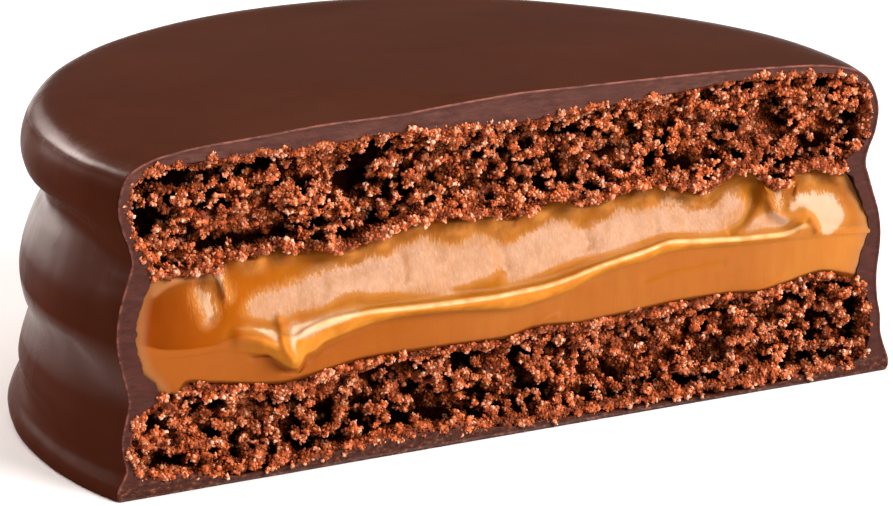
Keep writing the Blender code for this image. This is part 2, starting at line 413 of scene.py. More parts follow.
def loft(right, back, left, columns):
    """Points round the cookie, row by row: from the right end of the cut, round the back, to the left end."""
    share = np.linspace(0, 1, columns)[None, :]
    near_right = 1 - eased(share / RIGHT_BLEND)
    near_left = eased((share - 1 + LEFT_BLEND) / LEFT_BLEND)
    radius = [np.hypot(right[:, 0], CUT), back[:, 0], np.hypot(left[:, 0], CUT)]
    weights = [near_right, 1 - near_right - near_left, near_left]
    r = sum(w * value[:, None] for w, value in zip(weights, radius))
    z = sum(w * outline[:, 1][:, None] for w, outline in zip(weights, (right, back, left)))
    start = np.arctan2(CUT, right[:, 0])[:, None]
    end = math.pi - np.arctan2(CUT, left[:, 0])[:, None]
    turn = start + share * (end - start)
    flatter = FLAT * hump(turn, FLAT_TURN, FLAT_WIDTH) * eased(share / END_EASE)
    r = r * (1 - flatter)
    z = z - RIM_DROP * flatter * (r / ROUND) ** 4 * eased((z - 12) / 10)
    risen = hump(turn, RISEN_TURN, RISEN_WIDTH) * eased((1 - share) / END_EASE)
    for groove in GROOVES:
        z = z + RISEN * risen * hump(z, groove, GROOVE_WIDTH)
    return np.stack([r * np.cos(turn), r * np.sin(turn), np.maximum(z, 0)], axis=2)


def with_poles(wall, steps):
    """Adds rows that close the middle of the top and of the base, which the cut doesn't reach."""
    shares = np.linspace(0, 1, steps, endpoint=False)[:, None, None]
    top = np.array([0, 0, wall[0, 0, 2]])
    base = np.array([0, 0, wall[-1, 0, 2]])
    return np.concatenate([top + (wall[0] - top) * shares, wall, (base + (wall[-1] - base) * shares)[::-1]])


# %% [markdown]
# The outer wall is then made a little uneven, because poured chocolate is, and the inner edge is made
# ragged where it meets the crumb. A strip of small faces joins the two along the cut: that is the
# chocolate's cut face, with a burr along its outer edge.

# %% Building the coat
COAT_STEPS = 8           # rows from one outline point to the next
COAT_COLUMNS = 260
STRIP = [0, 0.03, 0.07, 0.12, 0.18, 0.26, 0.36, 0.47, 0.58, 0.69, 0.79, 0.88, 0.95, 1]
BURR = 0.09              # height of the burr along the cut's outer edge
BURR_IN = 0.11           # how far in from the edge it stands
BURR_WIDTH = 0.08
UNEVEN = 0.07
RAGGED_BEHIND = 1.2      # how far behind the cut the inner edge stays ragged
LOWEST_INNER = 0.15      # the inner wall stays this far above the table


def ragged(points):
    """Moves the inner wall's points near the cut in and out, and fades away behind it."""
    flat = points.reshape(-1, 3)
    near = np.exp(-(flat[:, 1] - CUT) / RAGGED_BEHIND)
    shift = 0.16 * rough(flat, 0.7, 3) + 0.1 * rough(flat, 0.3, 4)
    inward = np.array([0, 0, TOP / 2]) - flat
    inward[:, 1] = 0
    inward /= np.maximum(np.linalg.norm(inward, axis=1, keepdims=True), 1e-6)
    moved = flat + (near * shift)[:, None] * inward
    moved[:, 2] = np.maximum(moved[:, 2], LOWEST_INNER)
    return moved.reshape(points.shape)


def uneven(points):
    """Moves the outer wall's points on the side in and out, by long soft waves and shorter ones."""
    flat = points.reshape(-1, 3)
    out = flat * (1, 1, 0)
    out /= np.maximum(np.linalg.norm(out, axis=1, keepdims=True), 1)
    side = eased((np.hypot(flat[:, 0], flat[:, 1]) - 24) / 5)
    swell = UNEVEN * rough(flat * (1, 1, 0.6), 5.0, 1) + 0.4 * UNEVEN * rough(flat * (1, 1, 0.3), 1.8, 2)
    return (flat + (side * swell)[:, None] * out).reshape(points.shape)


def mark_rim(made):
    """Stores how far each point of the cut face is from its outer edge, in millimetres, for its finish."""
    spots = np.empty(len(made.data.vertices) * 3)
    made.data.vertices.foreach_get("co", spots)
    x, y, z = spots.reshape(-1, 3).T / MM
    rim = np.full(len(x), 2.0)
    for side, outline in ((1, OUTER_RIGHT), (-1, OUTER_LEFT)):
        chosen = (y < CUT + 0.3) & (x * side >= 0)
        rim[chosen] = near_line(x[chosen] * side, z[chosen], outline[:-4], COAT_STEPS)[0]
    made.data.attributes.new("rim", "FLOAT", "POINT").data.foreach_set("value", rim)


def cut_strip(border_out, border_in):
    """The chocolate's cut face, row by row from its outer edge to its inner one, with its burr and dents."""
    shares = np.array(STRIP)[:, None, None]
    strip = border_out + (border_in - border_out) * shares
    thickness = np.linalg.norm(border_in - border_out, axis=1)[None, :]
    from_edge = shares[:, :, 0] * thickness
    burr = hump(from_edge, BURR_IN, BURR_WIDTH)
    inside = (shares[:, :, 0] > 0) & (shares[:, :, 0] < 1)
    flat = strip.reshape(-1, 3)
    dents = 0.05 * rough(flat * (0.5, 1, 1), 0.7, 5) + 0.05 * rough(flat * (0.35, 1, 1.2), 0.35, 6)
    strip[:, :, 1] -= inside * (BURR * burr + dents.reshape(burr.shape) * eased(from_edge / 0.3))
    return strip


def coat():
    right, left = (curve_through(outline, COAT_STEPS) for outline in (OUTER_RIGHT, OUTER_LEFT))
    inner_right, inner_left = (curve_through(outline, COAT_STEPS) for outline in (INNER_RIGHT, INNER_LEFT))
    back = curve_through(OUTER_BACK, COAT_STEPS)
    inner_back = inset(back, BACK_WALL)
    inner_back[:, 0] = np.maximum(inner_back[:, 0], -CUT)
    outer = loft(right, back, left, COAT_COLUMNS)
    inner = ragged(loft(inner_right, inner_back, inner_left, COAT_COLUMNS // 2))
    borders = (np.concatenate([wall[:, 0], wall[::-1, -1]]) for wall in (outer, inner))
    strip = cut_strip(*borders)

    points, faces, finishes = [], [], []
    for grid, finish in ((uneven(with_poles(outer, 10)), 0), (with_poles(inner, 5), 0), (strip, 1)):
        new = grid_faces(*grid.shape[:2], start=sum(map(len, points)))
        points.append(grid.reshape(-1, 3))
        faces += new
        finishes += [finish] * len(new)
    made = piece("chocolate_shell", np.concatenate(points), faces, [SKIN, CUT_FACE], finishes)
    mark_rim(made)
    return made


shell = coat()
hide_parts("chocolate_coating")
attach(shell, "root")

# %% [markdown]
# ## The crumb
#
# A soft biscuit tears rather than cuts. Its crumb is a foam: bubbles of every size, with walls of small
# grains that cling together. That shape follows a rule, so Geometry Nodes make it. The tree fills a block
# with a density, positive where there is crumb, and takes the surface where the density is zero. Its
# input mesh is the plain slab of biscuit behind the cut, with one loose point for the middle of each
# large torn hole.


# %% A tree
class Tree(Nodes):
    """A Geometry Nodes tree with named inputs."""

    def __init__(self, name, **numbers):
        self.tree = bpy.data.node_groups.new(name, "GeometryNodeTree")
        face = self.tree.interface
        for in_out in ("INPUT", "OUTPUT"):
            face.new_socket("Geometry", in_out=in_out, socket_type="NodeSocketGeometry")
        self.numbers = {}
        for key, value in numbers.items():
            kind = "NodeSocketInt" if isinstance(value, int) else "NodeSocketFloat"
            socket = face.new_socket(key.replace("_", " "), in_out="INPUT", socket_type=kind)
            self.numbers[socket.identifier] = value
        self.inputs = self.tree.nodes.new("NodeGroupInput").outputs
        self.place = self.add("GeometryNodeInputPosition").outputs[0]
        self.normal = self.add("GeometryNodeInputNormal").outputs[0]

    def named(self, name):
        return self.add("GeometryNodeInputNamedAttribute", {"Name": name}, data_type="FLOAT").outputs[0]

    def store(self, geometry, name, value, domain="POINT"):
        inputs = {"Geometry": geometry, "Name": name, "Value": value}
        settings = {"data_type": "FLOAT", "domain": domain}
        return self.add("GeometryNodeStoreNamedAttribute", inputs, **settings).outputs[0]

    def shifted(self, place, size, seed, steps):
        """The place in units of size, in a part of the pattern that the seed picks."""
        return self.vector("ADD", self.vector("DIVIDE", place, size), [seed * step for step in steps])

    def noise(self, place, size, seed, detail=2):
        """Noise as a colour and as a number, both about 0 on average, with bumps of this size."""
        shifted = self.shifted(place, (size,) * 3, seed, (7.1, 3.7, 11.9))
        node = self.add("ShaderNodeTexNoise", {"Vector": shifted, "Scale": 1.0, "Detail": detail}).outputs
        return self.vector("SUBTRACT", node["Color"], (0.5,) * 3), self.maths("SUBTRACT", node["Fac"], 0.5)

    def pushed(self, place, size, seed, detail, amount):
        """The place, pushed about by noise."""
        return self.vector("ADD", place, self.scaled(self.noise(place, size, seed, detail)[0], amount))

    def cells(self, place, size, seed):
        """How far each place is from the nearest of many scattered points, and that point's random number."""
        shifted = self.shifted(place, size, seed, (5.3, 8.9, 2.3))
        node = self.add("ShaderNodeTexVoronoi", {"Vector": shifted, "Scale": 1.0}).outputs
        return node["Distance"], self.add("FunctionNodeSeparateColor", {0: node["Color"]}).outputs[0]

    def domes(self, place, size, seed, radius):
        """How deep each place is inside a ball round the nearest scattered point."""
        return self.maths("SUBTRACT", radius, self.cells(place, size, seed)[0])

    def chance(self, seed, most):
        """A random number for each point."""
        inputs = {2: 0.0, 3: most, "Seed": seed}
        return self.add("FunctionNodeRandomValue", inputs, data_type="FLOAT").outputs[1]

    def chances(self, seed, least, most):
        """Three random numbers for each point."""
        inputs = {"Min": (least,) * 3, "Max": (most,) * 3, "Seed": seed}
        return self.add("FunctionNodeRandomValue", inputs, data_type="FLOAT_VECTOR").outputs[0]

    def finish(self, geometry, material):
        """Ends the tree: copies are made real and given their material."""
        real = self.add("GeometryNodeRealizeInstances", {0: geometry}).outputs[0]
        painted = self.add("GeometryNodeSetMaterial", {"Geometry": real, "Material": material}).outputs[0]
        self.put(self.tree.nodes.new("NodeGroupOutput").inputs[0], painted)


def grown(name, base, tree):
    """A plain mesh object from running the tree on a base mesh. Millimetres go in and metres come out."""
    maker = placed(name + "_maker", base)
    modifier = maker.modifiers.new("grow", "NODES")
    modifier.node_group = tree.tree
    for identifier, value in tree.numbers.items():
        modifier[identifier] = value
    graph = bpy.context.evaluated_depsgraph_get()
    mesh = bpy.data.meshes.new_from_object(maker.evaluated_get(graph))
    maker.modifiers.remove(modifier)
    bpy.data.objects.remove(maker)
    mesh.name = name
    mesh.transform(Matrix.Scale(MM, 4))
    mesh.shade_smooth()
    print(f"{name}: {len(mesh.polygons)} faces, {sum(len(p.vertices) - 2 for p in mesh.polygons)} triangles")
    return placed(name, mesh)


# %% [markdown]
# Where the biscuit was torn, the crumb shows its grain: reddish cocoa brown. Light and shade are painted
# into it: a painted highlight makes the tips of the grains lighter, and painted shade makes the creases
# dark and the holes nearly black deep down. Two attributes tell the material where it is: how deep a
# place lies behind the torn front, and a tone for each grain, random in part and in part painted from
# how far the knob under it stands out.


# %% The crumb's finish
def cocoa_crumb():
    crumb = Finish("cocoa crumb")
    span = crumb.span
    speck = crumb.noise(0.25, detail=3, roughness=0.6)
    patch = crumb.noise(2.6, detail=3)
    deep = span(crumb.attribute("deep"), 0.6, 1.8)
    # From painted shade, nearly black in the creases, to a painted highlight, pale on the tips.
    colour = crumb.ramp(
        crumb.attribute("tone_and_painted_light"),
        (0.0, (0.045, 0.009, 0.003)),
        (0.25, (0.22, 0.038, 0.010)),
        (0.5, (0.66, 0.140, 0.034)),
        (0.78, (0.93, 0.44, 0.25)),
        (1.0, (0.98, 0.60, 0.42)),
    )
    colour = crumb.over(
        colour,
        (span(speck, 0.35, 0.6, 0.4, 0.0), (0.20, 0.040, 0.012)),
        (span(patch, 0.4, 0.65, 0.0, 0.45), (0.20, 0.044, 0.014)),
        # painted shade: nearly black deep behind the torn front
        (deep, (0.006, 0.001, 0.0005)),
    )
    crumb.set(Base_Color=colour, Roughness=span(speck, 0.35, 0.7, 0.55, 0.35))
    crumb.set(Specular_IOR_Level=span(deep, 0, 0.5, 0.11, 0.0))
    crumb.bumps((crumb.noise(0.12, detail=2), 0.03))
    return crumb.material


CRUMB = cocoa_crumb()
print("crumb:", CRUMB.name)

# %% [markdown]
# The density is built up in steps. The slab comes first, positive inside as far as the nearest wall. Its
# front stands in round lumps, except near a wall, where the coat holds it. Wide flat holes and bubbles of
# three sizes are taken away, and round knobs of two sizes go on every wall, like cauliflower, with sharp
# creases between them.

# %% The tree that bakes a crumb
VOXEL = 0.18             # size of the small cubes that the density is worked out in
ADAPT = 0.08             # how far flat places are made simpler
CRUMB_DEPTH = 3.6        # how far the detailed crumb goes behind the cut
BUBBLED = 2.2            # how far the bubbles go
IN_SIGHT = 2.6           # how far the knobs and grains go
INTO_COAT = 0.22         # how far the biscuit reaches into the coat
LEAST_COAT = 0.6         # least thickness of the coat under the lower biscuit
HOLE_SHAPE = (1 / 1.4, 1 / 2.0, 1)
# (size of the cells, radius of the smallest and the largest bubble, share of cells without one, seed)
BUBBLES = [
    ((2.6, 2.6, 1.4), 0.15, 0.62, 0.5, 3),
    ((1.35, 1.35, 1.0), 0.12, 0.70, 0.18, 4),
    ((0.8, 1.0, 0.62), 0.27, 0.77, 0.45, 5),
]


def crumb_tree(block, seed):
    """Its inputs, in millimetres: how high the lumps stand, how far the front is torn back, and the knobs."""
    low, high = block
    tree = Tree("crumb", Lump_Height=2.3, Torn_Back=0.7, Knobs=1.0)
    maths, vector, span, place, inputs = tree.maths, tree.vector, tree.span, tree.place, tree.inputs
    back = tree.axis(place, 1)

    # The lumps of the front, a little out of true.
    bent = tree.pushed(place, 1.3, seed + 1, 3, 1.7)
    lump = tree.domes(bent, (2.9, 4.0, 2.1), seed + 9, 0.42)
    small_lump = tree.domes(bent, (1.3, 1.6, 1.0), seed + 10, 0.42)
    swell = tree.noise(vector("MULTIPLY", place, (1, 0.4, 1.2)), 3.4, seed)[1]
    forward = maths("MULTIPLY", inputs["Lump Height"], maths("ADD", lump, maths("MULTIPLY", swell, 1.6)))
    forward = maths("MULTIPLY_ADD", small_lump, 0.5, forward)
    forward = maths("SUBTRACT", forward, inputs["Torn Back"])

    # The slab.
    reach_of = tree.named("reach")
    is_hole = tree.add("FunctionNodeCompare", {0: reach_of, 1: 0.0}, operation="GREATER_THAN").outputs[0]
    base = {"Geometry": inputs["Geometry"], "Selection": is_hole}
    holes, slab_mesh = tree.add("GeometryNodeSeparateGeometry", base, domain="POINT").outputs
    wobble = maths("MULTIPLY", span(back, CUT + 0.6, CUT + 1.6, 1.0, 0.0), 0.5)
    level_with = vector("MULTIPLY", tree.pushed(place, 0.9, seed + 2, 2, wobble), (1, 0, 1))
    on_slab = {"Mesh": slab_mesh, "Sample Position": level_with}
    sample = "GeometryNodeSampleNearestSurface"
    nearest, facing = (
        tree.add(sample, {"Value": value, **on_slab}, data_type="FLOAT_VECTOR").outputs[0]
        for value in (place, tree.normal)
    )
    away = vector("SUBTRACT", nearest, level_with)
    from_wall = maths("MULTIPLY", vector("LENGTH", away), maths("SIGN", vector("DOT_PRODUCT", away, facing)))
    free = span(from_wall, INTO_COAT, 1.5)
    forward = maths("MULTIPLY_ADD", forward, free, maths("MULTIPLY_ADD", free, -0.15, 0.15))
    behind = maths("ADD", maths("SUBTRACT", back, CUT), forward)
    solid = maths("MINIMUM", from_wall, behind)
    solid = maths("MINIMUM", solid, maths("SUBTRACT", CUT + CRUMB_DEPTH, back))

    # The torn holes, each round its own point.
    squashed = tree.add("GeometryNodeTransform", {"Geometry": holes, "Scale": HOLE_SHAPE}).outputs[0]
    torn = vector("MULTIPLY", tree.pushed(place, 0.8, seed + 5, 3, 1.3), HOLE_SHAPE)
    near = {"Geometry": squashed, "Sample Position": torn}
    index = tree.add("GeometryNodeSampleNearest", near, domain="POINT").outputs[0]
    at_hole = {"Geometry": squashed, "Index": index}
    sample = "GeometryNodeSampleIndex"
    centre, reach = (
        tree.add(sample, {"Value": value, **at_hole}, data_type=kind, domain="POINT").outputs[0]
        for value, kind in ((place, "FLOAT_VECTOR"), (reach_of, "FLOAT"))
    )
    solid = maths("MINIMUM", solid, maths("SUBTRACT", vector("DISTANCE", torn, centre), reach))

    # The bubbles. Far behind the cut, and by the walls, nobody sees them, and they are shut.
    shut = maths("MULTIPLY", span(from_wall, 0.25, 0.5, 1.0, 0.0), span(behind, 0.1, 0.6, 0.0, 3.0))
    shut = maths("MAXIMUM", span(back, CUT + BUBBLED, CUT + 3.0, 0.0, 3.0), shut)
    for size, least, most, share, number in BUBBLES:
        distance, chance = tree.cells(bent, size, seed + number)
        width = span(chance, share, 1.0, least, most)
        bubble = maths("MULTIPLY_ADD", maths("SUBTRACT", distance, width), size[2], shut)
        solid = maths("MINIMUM", solid, bubble)

    # The knobs.
    knobs = maths("MULTIPLY", tree.domes(place, (0.85, 0.95, 0.75), seed + 11, 0.45), 0.72)
    small_knobs = maths("MULTIPLY", tree.domes(place, (0.48, 0.55, 0.42), seed + 12, 0.45), 0.46)
    knobs = maths("ADD", knobs, small_knobs)
    here = span(back, CUT + IN_SIGHT, CUT + 3.0, inputs["Knobs"], 0.0)
    solid = maths("ADD", solid, maths("MULTIPLY", knobs, here))

    counts = {f"Resolution {axis}": int(round((b - a) / VOXEL)) for axis, a, b in zip("XYZ", low, high)}
    filled = {"Density": solid, "Background": -1.0, "Min": low, "Max": high, **counts}
    volume = tree.add("GeometryNodeVolumeCube", filled).outputs[0]
    skin = {"Volume": volume, "Threshold": 0.0, "Adaptivity": ADAPT}
    mesh = tree.add("GeometryNodeVolumeToMesh", skin).outputs[0]
    # The depth behind the front is used to paint shade into the holes.
    mesh = tree.store(mesh, "deep", maths("ADD", behind, 0.35))
    # The tone is painted light: high on the knobs' tips for a highlight, low in their creases for shade.
    tree.finish(tree.store(mesh, "tone_and_painted_light", span(knobs, -0.2, 0.3, 0.0, 0.72)), CRUMB)
    return tree


# %% [markdown]
# The grains go on in a second tree, which scatters points over the baked crumb, never closer than a set
# distance, and puts a small ball on each one. Turned and stretched at random and then pushed about by
# fine noise, no two look the same. Only the side that can be seen gets grains.

# %% The tree that scatters the grains
# (ending of the name, shift of the seed, spacing, radius, kind of ball, how finely it is divided)
GRAINS = [
    ("_grains", 0, 0.27, 0.115, "GeometryNodeMeshIcoSphere", {"Subdivisions": 1}),
    ("_specks", 5, 0.19, 0.085, "GeometryNodeMeshUVSphere", {"Segments": 4, "Rings": 2}),
]
MOST_GRAINS = 30.0       # per square millimetre
FULL_TURN = 6.28


def grain_tree(seed, spacing, radius, ball_kind, ball_size):
    tree = Tree("grains", Spacing=spacing, Radius=radius, Unevenness=0.10, Proud=0.03, Seed=seed)
    maths, inputs, place = tree.maths, tree.inputs, tree.place
    in_sight = maths("LESS_THAN", tree.axis(place, 1), CUT + IN_SIGHT)
    in_front = maths("LESS_THAN", tree.axis(tree.normal, 1), 0.25)
    where = {
        "Mesh": inputs["Geometry"],
        "Selection": maths("MULTIPLY", in_sight, in_front),
        "Distance Min": inputs["Spacing"],
        "Density Max": MOST_GRAINS,
        "Seed": inputs["Seed"],
    }
    spots = tree.add("GeometryNodeDistributePointsOnFaces", where, distribute_method="POISSON").outputs
    lifted = {"Geometry": spots[0], "Offset": tree.scaled(spots[1], inputs["Proud"])}
    size = tree.span(maths("POWER", tree.chance(seed + 4, 1.0), 2.0), 0, 1, 0.8, 1.35)
    balls = {
        "Points": tree.add("GeometryNodeSetPosition", lifted).outputs[0],
        "Instance": tree.add(ball_kind, {"Radius": inputs["Radius"], **ball_size}).outputs[0],
        "Rotation": tree.chances(seed, 0, FULL_TURN),
        "Scale": tree.scaled(tree.chances(seed + 1, 0.7, 1.5), size),
    }
    # The tone is random in part, and in part the painted shade and highlight of the knob under the grain.
    tone_and_painted_light = maths("ADD", tree.chance(seed + 2, 0.2), maths("ADD", tree.named("tone_and_painted_light"), 0.08))
    tone_and_painted_light = maths("MULTIPLY_ADD", tree.noise(place, 0.9, seed + 6)[1], 1.6, tone_and_painted_light)
    toned = tree.store(tree.add("GeometryNodeInstanceOnPoints", balls).outputs[0], "tone_and_painted_light", tone_and_painted_light, "INSTANCE")
    push = tree.scaled(tree.noise(place, 0.22, seed + 3)[0], maths("MULTIPLY", inputs["Unevenness"], 4.0))
    real = {"Geometry": tree.add("GeometryNodeRealizeInstances", {0: toned}).outputs[0], "Offset": push}
    tree.finish(tree.add("GeometryNodeSetPosition", real).outputs[0], CRUMB)
    return tree


# %% [markdown]
# The two seams, where biscuit meets caramel, wander up and down across the cut. The crumb is torn into
# larger holes here and there.

# %% Seams and torn holes
# (distance from the middle, height)
UPPER_SEAM = [
    (-28.4, 15.2), (-27.6, 14.9), (-25, 14.9), (-23, 14.9), (-22.4, 15.7), (-20.3, 15.6), (-18.5, 15.9),
    (-17.3, 15.5), (-15, 15.3), (-13, 15.1), (-11, 15.6), (-8, 16.3), (-4, 16.2), (-2, 16), (-0.5, 15.7),
    (2, 16.1), (3, 16.4), (6, 15.8), (8, 16.3), (11, 16.5), (13, 16), (15.5, 15.5), (17, 16.3),
    (19.6, 16.4), (20.3, 15.2), (22.4, 15.1), (23, 16), (25.5, 15.8), (27.6, 15.6),
]
LOWER_SEAM = [
    (-28.2, 6.9), (-27.2, 7), (-26.5, 6.5), (-25.6, 7.5), (-23.5, 7.2), (-20, 6.6), (-18, 6.45),
    (-15, 6.85), (-12.5, 7.2), (-5, 7.15), (-1, 7.1), (1.5, 7.5), (5, 7.3), (9, 7.5), (12, 7.7), (15, 7.75),
    (18, 7.65), (20, 7.5), (22, 7.8), (25, 8.25), (27, 7.8), (28.6, 7.3),
]
# (distance from the middle, height, size) of each torn hole
UPPER_HOLES = [
    (-26.2, 19.2, 0.35), (-24.4, 19.9, 0.5), (-25, 17.1, 0.6), (-23.3, 16.7, 0.6), (-21.7, 21, 0.55),
    (-20, 20.8, 0.5), (-17.2, 21.4, 0.4), (-12.3, 19.6, 1.15), (-10.6, 18.9, 0.8), (-14.5, 20.9, 0.5),
    (-7.3, 21.2, 0.5), (-1, 20.3, 0.65), (-3.6, 19.4, 0.4), (3, 21.8, 0.5), (7.5, 20.6, 0.6),
    (9.4, 19.6, 0.6), (14, 18.6, 0.7), (15.9, 18, 0.65), (20.3, 19.5, 0.65), (19.2, 19.4, 0.5),
    (23.6, 17.4, 0.6), (21.6, 17.3, 0.55), (24.3, 21.9, 0.6), (25.6, 20.4, 0.4), (13.2, 21.3, 0.5),
    (-16.5, 18.7, 0.4), (0.6, 18.2, 0.4),
]
LOWER_HOLES = [
    (-28.5, 2.9, 0.45), (-26, 4.4, 0.65), (-25.6, 2.5, 0.5), (-22.3, 5.3, 0.5), (-21.8, 2.8, 0.6),
    (-19.5, 3.1, 0.5), (-15, 4.6, 0.5), (-13, 3.1, 0.6), (-12, 5.8, 0.5), (-6.3, 3, 0.5), (-8, 5.5, 0.4),
    (-1.7, 5.3, 0.5), (-2.2, 3.1, 0.5), (2.5, 2.6, 0.5), (5.5, 4.4, 0.4), (9, 5.4, 0.5), (11, 3.7, 0.5),
    (16.8, 3.1, 0.75), (14.2, 5.6, 0.45), (22.5, 3.2, 0.5), (20, 5, 0.4), (25.5, 6.3, 0.55),
    (26.4, 3.6, 0.5),
]
print("torn holes:", len(UPPER_HOLES), "above and", len(LOWER_HOLES), "below")

# %% [markdown]
# Only the crumb near the cut is baked in detail. A plain body behind it carries the biscuit through to
# the back, and loose bits that the bubbles have cut free are dropped.

# %% Growing the two biscuits
REAR_RADIUS = 28.8       # radius of the plain body behind the crumb
SLAB_HALF = 40           # half the slab's length, well past the block that is baked


def slab(name, rim, holes):
    """A long block whose section is the rim, a closed outline of (x, z), with the holes' points."""
    count = len(rim)
    points = [(x, y, z) for y in (-SLAB_HALF, SLAB_HALF) for x, z in rim]
    faces = [tuple(range(count)), tuple(range(2 * count - 1, count - 1, -1))]
    faces += [(i, i + count, (i + 1) % count + count, (i + 1) % count) for i in range(count)]
    bm = bmesh.new()
    verts = [bm.verts.new(p) for p in points]
    for face in faces:
        bm.faces.new([verts[i] for i in face])
    bmesh.ops.triangulate(bm, faces=bm.faces[:2])
    bmesh.ops.recalc_face_normals(bm, faces=bm.faces)
    for x, z, size in holes:
        bm.verts.new((x, CUT + 0.3 * size, z))
    mesh = bpy.data.meshes.new(name)
    bm.to_mesh(mesh)
    bm.free()
    reach = mesh.attributes.new("reach", "FLOAT", "POINT")
    reach.data.foreach_set("value", [0.0] * (2 * count) + [1.15 * size for _, _, size in holes])
    return mesh


def biscuit_rim(seam, upper):
    """The biscuit's outline on the cut: just past the coat's inner wall on both sides, and the seam."""
    right, left = (inset(curve_through(outline, 4), -INTO_COAT) for outline in (INNER_RIGHT, INNER_LEFT))
    line = curve_through(seam, 3)
    if upper:
        right, left = right[right[:, 1] > line[-1, 1] + 0.3], left[left[:, 1] > line[0, 1] + 0.3]
        loop = [*right, *line[::-1], *(left[::-1] * (-1, 1))[:-1]]
    else:
        right, left = right[right[:, 1] < line[-1, 1] - 0.2], left[left[:, 1] < line[0, 1] - 0.2]
        loop = [*line, *right, *(left[::-1] * (-1, 1))[1:]]
    return np.maximum(np.array(loop), (-100, LEAST_COAT))


def fill_behind(core, rim):
    """Adds a plain body behind the detailed crumb, so that the biscuit runs through to the cookie's back."""
    start = CUT + CRUMB_DEPTH - 0.6
    width = np.minimum(np.abs(rim[:, 0]), REAR_RADIUS - 0.5)
    ends = (np.full(len(rim), start), np.sqrt(REAR_RADIUS**2 - width**2))
    bm = bmesh.new()
    bm.from_mesh(core.data)
    middle = rim.mean(axis=0)
    shrunk = middle + (rim - middle) * (0.96, 0.92)
    deep = bm.verts.layers.float["deep"]
    loops = [[bm.verts.new((x * MM, y * MM, z * MM)) for (x, z), y in zip(shrunk, end)] for end in ends]
    # The plain body behind gets the full depth, so it is painted in the holes' near-black shade.
    for vert in loops[0] + loops[1]:
        vert[deep] = CRUMB_DEPTH
    index = bm.faces[:][0].material_index
    near, far = loops
    caps = [bm.faces.new(loop) for loop in loops]
    sides = [bm.faces.new([near[i - 1], near[i], far[i], far[i - 1]]) for i in range(len(rim))]
    bmesh.ops.recalc_face_normals(bm, faces=caps + sides)
    for face in caps + sides:
        face.material_index = index
    bmesh.ops.triangulate(bm, faces=caps)
    bm.to_mesh(core.data)
    bm.free()


def drop_crumbs(mesh):
    """Deletes every loose bit, and keeps the largest connected body."""
    bm = bmesh.new()
    bm.from_mesh(mesh)
    left, bodies = set(bm.verts), []
    while left:
        body, edge_of_body = set(), [left.pop()]
        while edge_of_body:
            vert = edge_of_body.pop()
            body.add(vert)
            found = {edge.other_vert(vert) for edge in vert.link_edges} & left
            left -= found
            edge_of_body.extend(found)
        bodies.append(body)
    bodies.sort(key=len)
    bmesh.ops.delete(bm, geom=[vert for body in bodies[:-1] for vert in body], context="VERTS")
    bm.to_mesh(mesh)
    bm.free()
    print(f"{mesh.name}: {len(bodies) - 1} loose bits deleted")


def biscuit(name, seam, upper, holes, seed, node):
    rim = biscuit_rim(seam, upper)
    low = (rim[:, 0].min() - 0.6, CUT - 1.6, rim[:, 1].min() - 0.6)
    high = (rim[:, 0].max() + 0.6, CUT + CRUMB_DEPTH + 0.5, rim[:, 1].max() + 0.6)
    core = grown(name + "_biscuit", slab(name + "_slab", rim, holes), crumb_tree((low, high), seed))
    drop_crumbs(core.data)
    pieces = [core]
    for ending, shift, *ball in GRAINS:
        base = core.data.copy()
        base.transform(Matrix.Scale(1 / MM, 4))
        pieces.append(grown(name + ending, base, grain_tree(seed + shift, *ball)))
    fill_behind(core, rim)
    for made in pieces:
        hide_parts(node)
        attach(made, "root")


biscuit("upper", UPPER_SEAM, True, UPPER_HOLES, 3, "top_biscuit")
biscuit("lower", LOWER_SEAM, False, LOWER_HOLES, 8, "bottom_biscuit")

# %% [markdown]
# ## The caramel
#
# Dulce de leche is thick. The knife dragged it, so its face isn't flat: above, it slopes back to the
# biscuit in one wet band; below, it is a smooth wall; and between them hangs a lip that ends on the left
# in a drip. The face is a loft, with a profile at each place along the cut, whose heights follow a few
# wandering lines. The lines are drawn as they look from in front, to the right and above: what stands out
# seems to slide down and to the right, so each point is moved back by as much as it stands out.

# %% The caramel's lines
SLIDE_ALONG = 0.545      # how far a point seems to slide for each millimetre that it stands out
SLIDE_DOWN = 0.319
# (distance from the middle, height)
LIP_CREST = [
    (-30, 11), (-28.3, 10.5), (-27.3, 10.15), (-26, 9.95), (-24, 9.85), (-23, 9.95), (-22, 10.15),
    (-20.5, 10.05), (-18.5, 9.75), (-17.4, 9.6), (-16.5, 10), (-15, 10.4), (-12, 10.6), (-8, 10.45),
    (-4, 10.35), (-2, 10.3), (0, 10.4), (2, 10.5), (4, 10.8), (6, 11.25), (8, 11.6), (10, 11.9), (12, 12.3),
    (14, 12.15), (18, 11.8), (20, 11.7), (22, 11.65), (23.5, 12), (25, 11.6), (27, 11.2), (30, 11),
]
LIP_UNDER = [
    (-30, 9.2), (-24, 9.2), (-22, 9.1), (-20, 8.75), (-19.3, 8.55), (-18.7, 8.05), (-18.1, 7.65),
    (-17.6, 7.35), (-17.2, 7.3), (-16.9, 7.65), (-16.6, 8.1), (-15.9, 8.35), (-15.3, 8.75), (-14, 9.1),
    (-12, 9.55), (-10, 9.8), (-7, 9.75), (-5, 9.6), (-3, 9.4), (-1, 9.15), (0, 9.15), (2, 9.4), (4, 9.8),
    (6, 10.5), (8, 10.95), (10, 11.15), (12, 11.5), (16, 11.4), (20, 11.1), (22, 11), (24, 10.9),
    (30, 10.4),
]
# (distance from the middle, how far the lip stands out)
LIP_PROUD = [
    (-30, 0), (-24, 0), (-22, 0.08), (-20.4, 0.3), (-18.8, 0.6), (-17.2, 0.95), (-16, 0.8), (-12, 0.75),
    (-3, 0.8), (3, 0.75), (8, 0.6), (14, 0.45), (20, 0.35), (24, 0.15), (30, 0.05),
]
